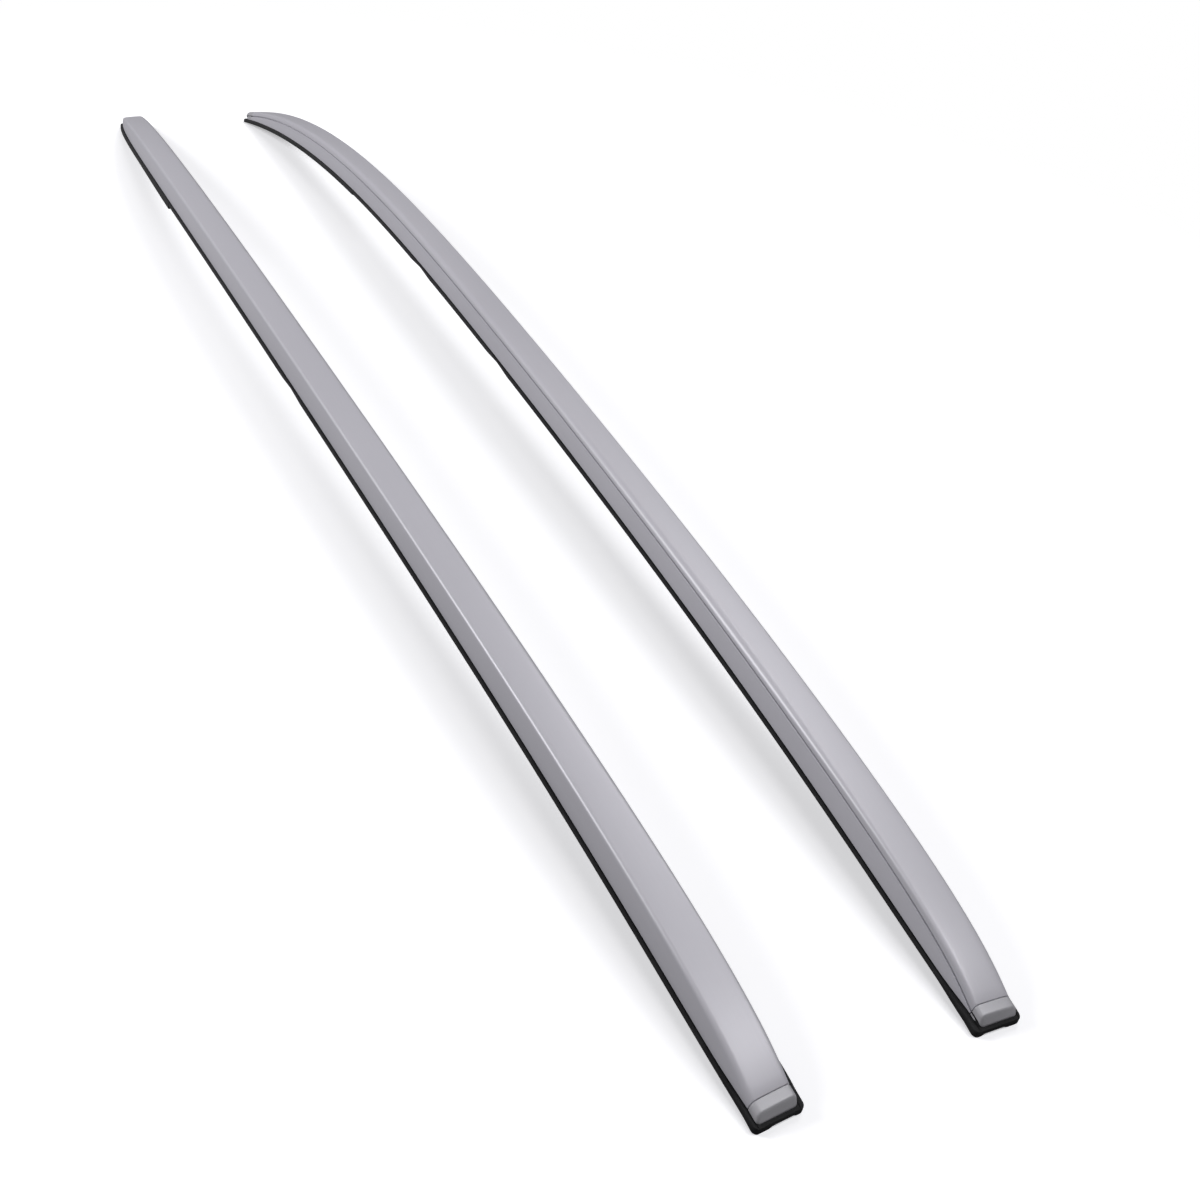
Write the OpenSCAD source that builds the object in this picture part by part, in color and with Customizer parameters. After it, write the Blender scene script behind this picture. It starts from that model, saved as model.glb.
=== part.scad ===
// Pair of bent roof side rails, a mirrored left and right, lying side by side.
// X runs across the pair, Y from the front ends to the rear ends, Z up from the ground.
// Every section is drawn in a plane of constant Y, about the rail's path: x outward, z up from the base line.

/* [Rails] */
// Length of each rail over its base pads
rail_length = 2000; // [1600:10:2200]
// Distance between the paths of the two rails at their ends
rail_spacing = 212; // [150:1:1200]
// Height from the base line to the outer edge of the top face
rail_height = 26.6; // [24:0.1:36]
// Width of the top face
top_width = 36.3; // [32:0.1:44]
// Extra width of the rail at its lower edges
base_flare = 11.3; // [6:0.1:14]
// Shift of the top face away from the middle of the base
top_shift = 1.6; // [0:0.1:2.5]
// Rise of the top face from its outer edge to its inner edge
top_rise = 1.7; // [0:0.1:2.5]
// Rise of the middle of the top face above its edges
top_crown = 0.5; // [0:0.1:1]

/* [Path] */
// Rise of the base line at the middle of the rail
arch_rise = 67; // [20:0.5:90]
// How far the crest of the arch leans to the rear
arch_skew = 18.5; // [0:0.5:25]
// How full the arch is towards its ends
arch_fullness = 37.5; // [0:0.5:45]
// Outward bow of the path at the middle of the rail
bow_middle = 24.5; // [0:0.5:40]
// How far the bow leans to the rear
bow_skew = 19.5; // [0:0.5:25]
// How full the bow is towards its ends
bow_fullness = 15; // [0:0.5:25]
// Extra lean of the bow close to the rear end
bow_tail = 9.5; // [0:0.5:20]
// Inward turn of the front end
front_hook = 0.8; // [0:0.1:4]
// Inward turn of the rear end
rear_hook = 3.6; // [0:0.1:6]

/* [Tapered ends] */
// Height of the rail at the front cap's seam
front_height = 9.4; // [9:0.1:14]
// Length over which the front end tapers
front_taper = 50; // [30:1:80]
// Height of the rail at the rear tip
rear_height = 9.6; // [7:0.1:12]
// Length over which the rear end tapers
rear_taper = 140; // [60:5:150]
// Loss of width of the top face at the front end
front_narrowing = 1.6; // [0:0.1:5]
// Angle by which the front end's edges turn, so that the inner corner lies back
front_skew = 3; // [0:0.5:5]
// Loss of width of the top face at the rear end
rear_narrowing = 4.6; // [0:0.1:6]

/* [Extrusion] */
// Thickness of the side walls
side_wall = 2.4; // [1.8:0.1:3]
// Thickness of the top wall
top_wall = 2.6; // [2:0.1:3]
// Radius of the outer edge of the top face
outer_edge_radius = 4; // [2:0.5:5]
// Extra radius of that edge at the front end
front_rounding = 2.5; // [0:0.5:3]
// Radius of the inner edge of the top face
inner_edge_radius = 4; // [1.5:0.5:4.5]
// Distance from the top face's inner edge down to the clamping groove
groove_drop = 7.5; // [6.5:0.1:7.6]
// Width of the clamping groove
groove_width = 1.6; // [1:0.1:2]
// Depth of the clamping groove
groove_depth = 2.2; // [1:0.1:2.5]
// Width of the slide nut channel
channel_width = 15; // [13:0.5:16]
// Depth of the slide nut channel
channel_depth = 3.4; // [3:0.1:3.4]
// Width of the slot between the channel's lips
channel_slot = 8.5; // [7:0.5:9.5]
// Thickness of the channel's ribs and lips
channel_lip = 1.8; // [1.2:0.1:1.8]

/* [End caps] */
// Length of the front cap that shows
front_cap_length = 13; // [8:0.5:16]
// Length of the rear cap that shows
rear_cap_length = 20; // [14:1:30]
// Length over which the front cap's face slopes down to its nose
front_rake = 4.5; // [2:0.5:8]
// Length over which the rear cap's face slopes down to its nose
rear_rake = 3; // [2:0.5:8]
// Height of a cap's edge at its nose
nose_edge = 1.5; // [1:0.1:2.5]
// Radius of the front cap's corners, seen from above
front_corner_radius = 3.5; // [1:0.5:5]
// Radius of the rear cap's corners, seen from above
rear_corner_radius = 4; // [2:0.5:9]
// Length of a cap's tongue in the channel
tongue_length = 26; // [16:1:30]

/* [Base seals] */
// Thickness of the seal at the front end of the seal strips
seal_front = 3; // [2.4:0.1:4]
// Thickness of the seal at the rear end of the seal strips
seal_rear = 4.6; // [3:0.1:6]
// How far the seals stand out past the rail's lower edges
seal_margin = 3.4; // [1:0.1:5]
// Extra thickness of the front pad at its tip
front_pad_swell = 2.4; // [1:0.5:5]
// Rise of the front pad's seat under the cap
front_seat_rise = 1.5; // [0:0.1:2]
// Extra margin of the front pad's tip on the inner side
inner_spread = 1.5; // [0:0.1:3]
// Depth of the recess under the front pad's tip
recess_depth = 2.2; // [0.5:0.1:3]
// Width of the recess under the front pad's tip
recess_width = 27; // [10:1:32]
// Length of the recess under the front pad's tip
recess_length = 7; // [3:0.5:12]
// Distance from the front pad's inner edge to the recess
recess_inset = 5; // [3:0.5:8]
// How far the front pad's upstand in the cap's pocket stays behind the cap's inner face
upstand_step = 0.7; // [0.4:0.1:1]
// Length of the front pad
front_pad_length = 150; // [120:5:200]
// How far the front pad stands out past its cap
front_lip = 3; // [2:0.5:8]
// How far the rear pad stands out past its cap
rear_lip = 1; // [1:0.5:5]
// Radius of the pads' corners, seen from above
pad_corner_radius = 4.5; // [2:0.5:10]
// Extra thickness of the rear pad
rear_pad_step = 0.9; // [0.5:0.1:2]
// Extra margin of the rear pad
rear_pad_flange = 0.5; // [0:0.1:2.5]
// Length of the rear pad
rear_pad_length = 478; // [300:5:560]
// Distance from the joint of the two seal strips to the middle of the rail
joint_offset = 15; // [-100:5:150]
// Length of the feathered end of each seal strip
seal_feather = 32; // [20:1:40]
// Thickness that is left at a feathered end
feather_thickness = 1.4; // [1:0.1:2]
// Distance from the joint of the seal strips to the drain notch in the rear strip
notch_offset = 265; // [100:5:300]

/* [Feet] */
// Distance from the front end to the first foot
first_foot = 85; // [75:1:100]
// Distance from the rear end to the last foot
last_foot = 120; // [110:1:160]
// Number of feet on each rail
foot_count = 4; // [3:1:5]
// Length of a foot's plates
foot_length = 48; // [44:1:56]
// Width of a foot's lower plate
foot_width = 33; // [31:0.5:34]
// Thickness of a foot's plates
foot_plate = 3; // [2.5:0.1:3.5]
// Diameter of a foot's boss
boss_d = 18; // [16:0.5:20]
// Distance from the boss to each screw of the foot
screw_offset = 16.5; // [15:0.5:18]
// Outer diameter of the steel threaded insert
insert_d = 11; // [10:0.5:12]
// Diameter of the insert's threaded hole
insert_bore_d = 6.8; // [5:0.1:8]
// Length of the threaded insert
insert_length = 10; // [8:0.5:11]
// Diameter of the room for the bolt's end over the insert
bolt_room_d = 9; // [8.5:0.1:9.5]
// Outer diameter of the foam ring around the boss
ring_d = 26; // [23:0.5:28]
// Thickness of the foam ring
ring_thickness = 1.6; // [1:0.1:2]
// Shank diameter of the foot screws
screw_d = 5; // [4:0.5:5]
// Head diameter of the foot screws
screw_head_d = 9; // [7:0.5:9.5]
// Head height of the foot screws
screw_head = 2.4; // [1.5:0.1:2.8]
// Length of a slide nut
nut_length = 44; // [40:1:48]
// Thickness of a slide nut
nut_thickness = 2.4; // [2:0.1:2.6]

/* [Fits] */
// Clearance around the pieces that slide in the channel
slide_clearance = 0.3; // [0.2:0.05:0.4]
// Clearance under a foot's upper plate and over its lower plate
seat_clearance = 0.1; // [0.05:0.05:0.2]
// Clearance of the foam ring in its pad and of the screws in their holes
hole_clearance = 0.25; // [0.2:0.05:0.4]
// Clearance of the foam ring around the boss, which stands at a slant to it
ring_clearance = 0.8; // [0.7:0.05:1.2]

/* [Hidden] */
$fn = 48;
edge_steps = 4;
cut = 0.5;
taper_shape = 25;
hook_length = 60;
narrowing_length = 100;
rear_narrowing_length = 150;
break_share = 0.35;
front_seam = front_lip + front_cap_length;
seat_end = first_foot - foot_length / 2 - 1;
rear_seam = rail_length - rear_lip - rear_cap_length;
rear_pad_start = rail_length - rear_pad_length;
seal_joint = rail_length / 2 - joint_offset;
drain_notch = seal_joint + notch_offset;
foot_pitch = (rail_length - first_foot - last_foot) / (foot_count - 1);
outer_slope = (base_flare / 2 - top_shift) / rail_height;
inner_slope = (base_flare / 2 + top_shift) / (rail_height + top_rise);

// Path of the rail, by the distance u from its front end
function along(u) = 2 * u / rail_length - 1;
function front_fade(u, reach) = exp(-max(u, 0) / reach);
function rear_fade(u, reach) = exp(-max(rail_length - u, 0) / reach);
function bow(u) =
  let (t = along(u), q = 1 - t * t)
  q * (bow_middle + bow_skew * t + bow_fullness * t * t + bow_tail * t * t * t)
  - front_hook * front_fade(u, hook_length) - rear_hook * rear_fade(u, hook_length);
function arch(u) =
  let (t = along(u), q = 1 - t * t)
  q * (arch_rise + arch_skew * t + arch_fullness * t * t);
function tip_height(u) =
  let (front = seal_front + front_pad_swell, rear = seal_rear + rear_pad_step)
  front + (rear - front) * u / rail_length;
function base_z(u) = arch(u) + tip_height(u);
function path_x(u) = rail_spacing / 2 + bow(u);
function path_y(u) = u - rail_length / 2;

// Height and half width of the rail's outside
function height(u) =
  rail_height - (rail_height - front_height) * front_fade(u - front_seam, front_taper)
  - (rail_height - rear_height) * rear_fade(u, rear_taper);
function half_top(u) =
  (top_width - front_narrowing * front_fade(u, narrowing_length)
  - rear_narrowing * rear_fade(u, rear_narrowing_length)) / 2;
function outer_x(u, z) = half_top(u) + top_shift + (height(u) - z) * outer_slope;
function inner_x(u, z) = -(half_top(u) - top_shift) - (height(u) + top_rise - z) * inner_slope;
function slope(f, g) = atan((g - f) / 2);

// The front pad's tip is raised under the rail and stands out wider, which fades out before the first foot
function tip_share(u) =
  let (s = min(1, max(0, (seat_end - u) / (seat_end - front_seam))))
  s * s * (3 - 2 * s);
function seat(u) = front_seat_rise * tip_share(u);

// Stations that all swept pieces share, so that faces that meet have the same corners
function spread(a, b, step) =
  let (n = max(1, ceil(abs(b - a) / step - 0.001)))
  [for (i = [0:n]) a + (b - a) * i / n];
function rounded_end(tip, inward, radius, n) =
  [for (i = [0:n]) tip + inward * radius * (1 - cos(90 * i / n))];
function sorted(list) =
  len(list) < 2 ? list :
  let (p = list[floor(len(list) / 2)])
  concat(sorted([for (v = list) if (v < p - 0.02) v]), [p], sorted([for (v = list) if (v > p + 0.02) v]));
feather_marks = [seal_joint - seal_feather, seal_joint, seal_joint + seal_feather];
notch_marks = [for (k = [-1:0.5:1]) drain_notch + k * seal_feather];
stations = sorted(concat(
  feather_marks,
  notch_marks,
  rounded_end(0, 1, pad_corner_radius, 3),
  rounded_end(front_lip, 1, front_rake, 4),
  rounded_end(rail_length, -1, pad_corner_radius, 3),
  rounded_end(rail_length - rear_lip, -1, rear_rake, 3),
  [front_seam],
  spread(front_seam + tongue_length, seat_end, 9),
  spread(seat_end, front_pad_length, 18),
  spread(front_pad_length, feather_marks[0], 60),
  spread(feather_marks[2], notch_marks[0], 60),
  spread(notch_marks[4], rear_pad_start, 60),
  spread(rear_pad_start, rear_seam - 120, 50),
  spread(rear_seam - 120, rear_seam, 24),
  spread(front_seam, front_seam + tongue_length, tongue_length / 3),
  spread(rear_seam - tongue_length, rear_seam, tongue_length / 2)));
function between(a, b) = [for (u = stations) if (u > a - 0.03 && u < b + 0.03) u];

// End face of a section, cut into triangles one ear at a time
function turn(a, b, c) = (b[0] - a[0]) * (c[1] - a[1]) - (b[1] - a[1]) * (c[0] - a[0]);
function covers(a, b, c, p) = turn(a, b, p) >= 0 && turn(b, c, p) >= 0 && turn(c, a, p) >= 0;
function corner(ids, i) = [for (k = [-1:1]) ids[(i + k + len(ids)) % len(ids)]];
function is_ear(p, t, ids) =
  turn(p[t[0]], p[t[1]], p[t[2]]) > 0.001
  && len([for (k = ids) if (len(search(k, t)) == 0 && covers(p[t[0]], p[t[1]], p[t[2]], p[k])) k]) == 0;
function ears(p, ids) =
  len(ids) < 4 ? [ids] :
  let (i = [for (k = [0:len(ids) - 1]) if (is_ear(p, corner(ids, k), ids)) k][0])
  concat([corner(ids, i)], ears(p, [for (k = [0:len(ids) - 1]) if (k != i) ids[k]]));
function end_face(ring) =
  ears([for (p = ring) [p[0], p[2]]], [for (i = [0:len(ring) - 1]) i]);

// Closed solid through one ring of section points at each station
module sweep(rings) {
  n = len(rings[0]);
  m = len(rings);
  sides = [
    for (j = [0:m - 2])
      for (i = [0:n - 1])
        let (k = (i + 1) % n)
          each [[j * n + i, j * n + k, (j + 1) * n + k], [j * n + i, (j + 1) * n + k, (j + 1) * n + i]]
  ];
  first = [for (t = end_face(rings[0])) [t[2], t[1], t[0]]];
  last = [for (t = end_face(rings[m - 1])) [for (k = t) (m - 1) * n + k]];
  polyhedron(points = [for (ring = rings) each ring], faces = concat(sides, first, last), convexity = 10);
}
function skewed(u, x) =
  let (outer_corner = outer_x(0, 0) + seal_margin - pad_corner_radius)
  (outer_corner - x) * tan(front_skew) * tip_share(u);
function ring(u, section) =
  [for (p = section) [path_x(u) + p[0], path_y(u) + skewed(u, p[0]), base_z(u) + p[1]]];

// Centre of a round edge between two lines through a corner, with outward directions a and b
function edge_centre(corner, a, b, r) =
  let (
    na = [cos(a), sin(a)],
    nb = [cos(b), sin(b)],
    ra = na * corner - r,
    rb = nb * corner - r,
    det = na[0] * nb[1] - na[1] * nb[0]
  )
  [(ra * nb[1] - rb * na[1]) / det, (na[0] * rb - nb[0] * ra) / det];
function round_edge(corner, a, b, r) =
  let (c = edge_centre(corner, a, b, r))
  [for (i = [0:edge_steps]) let (s = a + (b - a) * i / edge_steps) c + r * [cos(s), sin(s)]];

// Outside of the rail, from its outer lower edge over the top to its inner lower edge
function outside(u) =
  let (
    h = height(u),
    w = half_top(u),
    shift = top_shift,
    tilt = atan(top_rise / (2 * w)),
    groove_z = h + top_rise - groove_drop,
    s = seat(u),
    edge_radius = outer_edge_radius + front_rounding * front_fade(u, narrowing_length),
    crown = [for (s = [0.25, 0.5, 0.75]) [
      shift + w - 2 * w * s,
      h + top_rise * s + 4 * top_crown * s * (1 - s)
    ]]
  )
  concat(
    [[outer_x(u, s), s]],
    round_edge([w + shift, h], atan(outer_slope), 90 - tilt, edge_radius),
    crown,
    round_edge([shift - w, h + top_rise], 90 - tilt, 180 - atan(inner_slope), inner_edge_radius),
    [
      [inner_x(u, groove_z + groove_width / 2), groove_z + groove_width / 2],
      [inner_x(u, groove_z + groove_width / 2) + groove_depth, groove_z + groove_width / 2],
      [inner_x(u, groove_z - groove_width / 2) + groove_depth, groove_z - groove_width / 2],
      [inner_x(u, groove_z - groove_width / 2), groove_z - groove_width / 2],
      [inner_x(u, s), s]
    ]);

// Underside of the top wall in the channel
function roof_z(u) = height(u) + top_rise / 2 - top_wall;

// Inside of the open extrusion, from its inner lower edge back to its outer lower edge
function inside(u) =
  let (
    h = height(u),
    c = top_shift,
    roof = roof_z(u),
    lip = roof - channel_depth,
    half = channel_width / 2,
    slot = channel_slot / 2,
    s = seat(u),
    low = max(s + 0.3, h + top_rise - groove_drop - groove_width / 2 - side_wall * 0.75)
  )
  [
    [inner_x(u, s) + side_wall, s],
    [inner_x(u, low) + side_wall, low],
    [inner_x(u, low) + side_wall + groove_depth, low + 0.4],
    [inner_x(u, roof) + side_wall + groove_depth, roof + 0.4 * top_rise],
    [c - half - channel_lip, roof + 0.3 * top_rise],
    [c - half - channel_lip, lip - channel_lip],
    [c - slot, lip - channel_lip],
    [c - slot, lip],
    [c - half, lip],
    [c - half, roof],
    [c + half, roof],
    [c + half, lip],
    [c + slot, lip],
    [c + slot, lip - channel_lip],
    [c + half + channel_lip, lip - channel_lip],
    [c + half + channel_lip, roof - 0.3 * top_rise],
    [outer_x(u, roof) - side_wall, roof - 0.5 * top_rise],
    [outer_x(u, s) - side_wall, s]
  ];

module rail_profile() {
  color("silver") sweep([
    for (u = between(front_seam, rear_seam)) ring(u, concat(outside(u), inside(u)))
  ]);
}

// A cap is the rail's outside at the seam, drawn in towards its nose, with a tongue in the channel.
// Its inner side is cut back below the groove.
function cap_outline(seam) =
  let (
    groove_z = height(seam) + top_rise - groove_drop - groove_width / 2,
    inset = groove_depth,
    s = seat(seam)
  )
  concat(
    [for (p = outside(seam)) if (p[1] > groove_z + 0.01 || p[0] > 0) p],
    [[inner_x(seam, groove_z) + inset, groove_z], [inner_x(seam, s) + inset, s]]);
function corner_loss(d, r) = d >= r ? 0 : r - sqrt(r * r - (r - d) * (r - d));
function nose_share(d, rake) =
  let (t = max(0, 1 - d / rake), w = break_share)
  (t < w ? t * t / (2 * w) : t - w / 2) / (1 - w / 2);
function shaped(outline, u, seam, d, corner, rake) =
  let (
    s = seat(u),
    full = height(u) - s,
    high = full - (full - nose_edge) * nose_share(d, rake),
    grow = high / (height(seam) - s),
    w = outer_x(seam, 0),
    narrow = (w - corner_loss(d, corner)) / w
  )
  [for (p = outline) [p[0] * narrow, s + (p[1] - s) * grow]];
function tongue_section(u) =
  let (
    half = channel_width / 2 - slide_clearance,
    top = roof_z(u) - slide_clearance,
    low = roof_z(u) - channel_depth + slide_clearance,
    c = top_shift
  )
  [[c + half, low], [c + half, top], [c - half, top], [c - half, low]];
module end_cap(seam, nose, side, corner, rake) {
  a = min(seam, nose);
  b = max(seam, nose);
  color("lightgray") union() {
    sweep([
      for (u = between(a, b)) ring(u, shaped(cap_outline(seam), u, seam, abs(u - nose), corner, rake))
    ]);
    sweep([
      for (u = between(min(seam, seam + side * tongue_length), max(seam, seam + side * tongue_length)))
        ring(u, tongue_section(u))
    ]);
  }
}
module front_cap() {
  end_cap(front_seam, front_lip, 1, front_corner_radius, front_rake);
}
module rear_cap() {
  end_cap(rear_seam, rail_length - rear_lip, -1, rear_corner_radius, rear_rake);
}

// Seals: a slab under the rail with a bevelled rim, cut for the bosses of the feet
function seal_thickness(u) =
  seal_front + (seal_rear - seal_front) * u / rail_length
  + front_pad_swell * front_fade(u, taper_shape);
function seal_section(u, margin, inner_t, outer_t, loss) =
  let (
    xo = outer_x(u, 0) + margin - loss,
    xi = inner_x(u, 0) - margin - inner_spread * tip_share(u) + loss,
    rim = min(1, inner_t / 3),
    s = seat(u)
  )
  [[xo, -outer_t], [xo, s - rim], [xo - 1, s], [xi + 1, s], [xi, s - rim], [xi, -inner_t]];
module boss_holes() {
  for (i = [0:foot_count - 1])
    translate([path_x(foot_at(i)), path_y(foot_at(i)), base_z(foot_at(i))])
      cylinder(d = ring_d + 2 * hole_clearance, h = 4 * seal_rear, center = true);
}
function foot_at(i) = first_foot + i * foot_pitch;
module tip_recess() {
  inner = inner_x(0, 0) - seal_margin - inner_spread;
  translate([path_x(0) + inner + recess_inset, path_y(0) - 1, base_z(0) - 2 * seal_thickness(0)])
    cube([recess_width, 1 + recess_length, seal_thickness(0) + recess_depth]);
}
// Upstand of the front pad in the pocket on the cap's inner side
function upstand_outline(seam) =
  let (
    s = seat(seam),
    top = height(seam) + top_rise - groove_drop + groove_width / 2 - slide_clearance,
    deep = groove_depth - slide_clearance
  )
  [
    [inner_x(seam, s) + deep, s - cut],
    [inner_x(seam, top) + deep, top],
    [inner_x(seam, top) + upstand_step, top],
    [inner_x(seam, s) + upstand_step, s - cut]
  ];
module upstand() {
  outline = upstand_outline(front_seam);
  marks = concat(between(front_lip + 1, front_lip + front_rake), [front_seam - slide_clearance]);
  sweep([
    for (u = marks)
      ring(u, shaped(outline, u, front_seam, u - front_lip, front_corner_radius, front_rake))
  ]);
}
module front_pad() {
  color("dimgray") difference() {
    union() {
      sweep([
        for (u = between(0, front_pad_length))
          let (t = seal_thickness(u))
            ring(u, seal_section(max(u, 0), seal_margin, t, t, corner_loss(u, pad_corner_radius)))
      ]);
      upstand();
    }
    boss_holes();
    tip_recess();
  }
}
function feather(u, at) = min(1, abs(u - at) / seal_feather);
function strip_thickness(u, at) =
  feather_thickness + (seal_thickness(u) - feather_thickness) * feather(u, at);
function notched(u) = strip_thickness(u, drain_notch);
module seal_strip(a, b) {
  color("dimgray") difference() {
    sweep([
      for (u = between(a, b))
        let (t = strip_thickness(u, seal_joint))
          ring(u, seal_section(u, seal_margin, min(t, notched(u)), t, 0))
    ]);
    boss_holes();
  }
}
module rear_pad() {
  color("dimgray") difference() {
    sweep([
      for (u = between(rear_pad_start, rail_length))
        let (t = seal_thickness(u) + rear_pad_step)
          ring(u, seal_section(u, seal_margin + rear_pad_flange, t, t,
            corner_loss(rail_length - u, pad_corner_radius)))
    ]);
    boss_holes();
  }
}

// Underside of the channel's lips
function lip_z(u) = roof_z(u) - channel_depth - channel_lip;

// Place at the rail's path, turned to its direction seen from above
module at_path(u) {
  translate([path_x(u), path_y(u), base_z(u)])
    rotate([0, 0, -slope(bow(u - 1), bow(u + 1))])
      children();
}
// Place under the channel's lips, tilted along them
module at_lips(u) {
  at_path(u)
    translate([top_shift, 0, lip_z(u)])
      rotate([slope(base_z(u - 1) + height(u - 1), base_z(u + 1) + height(u + 1)), 0, 0])
        children();
}
module at_base(u) {
  at_path(u)
    rotate([slope(base_z(u - 1), base_z(u + 1)), 0, 0])
      children();
}
module screw_places() {
  for (side = [-1, 1])
    translate([0, side * screw_offset, 0])
      children();
}

// Height of the arc that a plate of a foot's length cuts off under the channel's lips
function lip_sag(u) =
  let (
    a = u - foot_length / 2,
    b = u + foot_length / 2,
    chord = (base_z(a) + height(a) + base_z(b) + height(b)) / 2
  )
  max(0, base_z(u) + height(u) - chord);
module foot(u) {
  upper_width = channel_width + 2 * channel_lip;
  color("gray") difference() {
    union() {
      at_lips(u)
        translate([-upper_width / 2, -foot_length / 2, -foot_plate - lip_sag(u) - seat_clearance])
          cube([upper_width, foot_length, foot_plate]);
      at_base(u)
        translate([-foot_width / 2, -foot_length / 2, seat_clearance])
          cube([foot_width, foot_length, foot_plate]);
      at_path(u)
        translate([0, 0, cut - seal_thickness(u)])
          cylinder(d = boss_d, h = seal_thickness(u) + lip_z(u) - lip_sag(u) - 2 * cut);
      for (side = [-1, 1])
        at_path(u)
          translate([side * (boss_d / 2 - foot_plate / 2) - foot_plate / 2, -boss_d, foot_plate / 2])
            cube([foot_plate, 2 * boss_d, lip_z(u) - foot_plate * 2]);
    }
    at_lips(u)
      screw_places()
        translate([0, 0, -3 * foot_plate])
          cylinder(d = screw_d + 2 * hole_clearance, h = 4 * foot_plate);
    at_path(u)
      translate([0, 0, -2 * seal_rear])
        cylinder(d = insert_d, h = 2 * seal_rear - seal_thickness(u) + cut + insert_length);
    at_path(u)
      cylinder(d = bolt_room_d, h = lip_z(u) - foot_plate * 2);
  }
}
module threaded_inserts() {
  color("goldenrod")
    for (i = [0:foot_count - 1])
      at_path(foot_at(i))
        translate([0, 0, cut - seal_thickness(foot_at(i))])
          difference() {
            cylinder(d = insert_d, h = insert_length);
            translate([0, 0, -1]) cylinder(d = insert_bore_d, h = insert_length + 2);
          }
}
module slide_nuts() {
  color("darkgray")
    for (i = [0:foot_count - 1])
      at_lips(foot_at(i))
        translate([0, 0, channel_lip + slide_clearance])
          difference() {
            translate([slide_clearance - channel_width / 2, -nut_length / 2, 0])
              cube([channel_width - 2 * slide_clearance, nut_length, nut_thickness]);
            screw_places() translate([0, 0, -1]) cylinder(d = screw_d, h = nut_thickness + 2);
          }
}
module foot_screws() {
  color("dimgray")
    for (i = [0:foot_count - 1])
      at_lips(foot_at(i))
        screw_places()
          translate([0, 0, -foot_plate - lip_sag(foot_at(i)) - seat_clearance])
            union() {
              translate([0, 0, -screw_head]) cylinder(d = screw_head_d, h = screw_head);
              cylinder(
                d = screw_d,
                h = foot_plate + lip_sag(foot_at(i)) + channel_lip + slide_clearance + nut_thickness);
            }
}
module foam_rings() {
  color("black")
    for (i = [0:foot_count - 1])
      at_base(foot_at(i))
        translate([0, 0, -ring_thickness])
          difference() {
            cylinder(d = ring_d, h = ring_thickness);
            translate([0, 0, -1]) cylinder(d = boss_d + 2 * ring_clearance, h = ring_thickness + 2);
          }
}

module left() {
  mirror([1, 0, 0]) children();
}

left() rail_profile();  // rail_profile_left
rail_profile();  // rail_profile_right
left() front_cap();  // front_cap_left
front_cap();  // front_cap_right
left() rear_cap();  // rear_cap_left
rear_cap();  // rear_cap_right
left() front_pad();  // front_pad_left
front_pad();  // front_pad_right
left() seal_strip(front_pad_length, seal_joint);  // front_seal_left
seal_strip(front_pad_length, seal_joint);  // front_seal_right
left() seal_strip(seal_joint, rear_pad_start);  // rear_seal_left
seal_strip(seal_joint, rear_pad_start);  // rear_seal_right
left() rear_pad();  // rear_pad_left
rear_pad();  // rear_pad_right
left() foot(foot_at(0));  // front_foot_left
foot(foot_at(0));  // front_foot_right
left() for (i = [1:foot_count - 2]) foot(foot_at(i));  // middle_feet_left
for (i = [1:foot_count - 2]) foot(foot_at(i));  // middle_feet_right
left() foot(foot_at(foot_count - 1));  // rear_foot_left
foot(foot_at(foot_count - 1));  // rear_foot_right
left() threaded_inserts();  // threaded_inserts_left
threaded_inserts();  // threaded_inserts_right
left() slide_nuts();  // slide_nuts_left
slide_nuts();  // slide_nuts_right
left() foot_screws();  // foot_screws_left
foot_screws();  // foot_screws_right
left() foam_rings();  // foam_rings_left
foam_rings();  // foam_rings_right
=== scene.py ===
import math

import bmesh
import bpy
from mathutils import Matrix, Vector


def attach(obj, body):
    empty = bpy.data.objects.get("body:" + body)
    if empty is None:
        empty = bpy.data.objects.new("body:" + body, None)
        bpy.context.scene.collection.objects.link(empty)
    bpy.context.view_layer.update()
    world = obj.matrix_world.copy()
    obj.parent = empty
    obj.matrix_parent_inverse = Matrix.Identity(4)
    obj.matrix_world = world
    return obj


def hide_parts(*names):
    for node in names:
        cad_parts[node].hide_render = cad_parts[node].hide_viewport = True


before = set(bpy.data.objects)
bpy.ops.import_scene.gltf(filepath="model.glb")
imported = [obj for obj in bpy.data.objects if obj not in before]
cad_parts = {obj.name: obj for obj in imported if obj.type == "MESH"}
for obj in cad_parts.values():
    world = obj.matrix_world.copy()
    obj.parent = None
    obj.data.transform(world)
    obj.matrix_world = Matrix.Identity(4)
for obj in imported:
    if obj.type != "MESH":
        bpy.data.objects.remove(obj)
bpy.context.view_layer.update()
print("frame loaded:", len(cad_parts), "nodes")

mm = 0.001  # sections are worked out in millimetres
sides = {"left": -1, "right": 1}  # which way each rail's outer side faces along X


# Shader maths: a socket as a value in Python expressions
class Value:
    def __init__(self, finish, socket):
        self.finish = finish
        self.socket = socket

    def __add__(self, other):
        return self.finish.calculate("ADD", self, other)

    def __sub__(self, other):
        return self.finish.calculate("SUBTRACT", self, other)

    def __rsub__(self, other):
        return self.finish.calculate("SUBTRACT", other, self)

    def __mul__(self, other):
        return self.finish.calculate("MULTIPLY", self, other)

    __radd__ = __add__
    __rmul__ = __mul__

    def smoothly(self, low, high):  # 0 below low, 1 above high
        settings = {"interpolation_type": "SMOOTHSTEP"}
        return self.finish.add("ShaderNodeMapRange", settings, {"Value": self, "From Min": low, "From Max": high})


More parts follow.
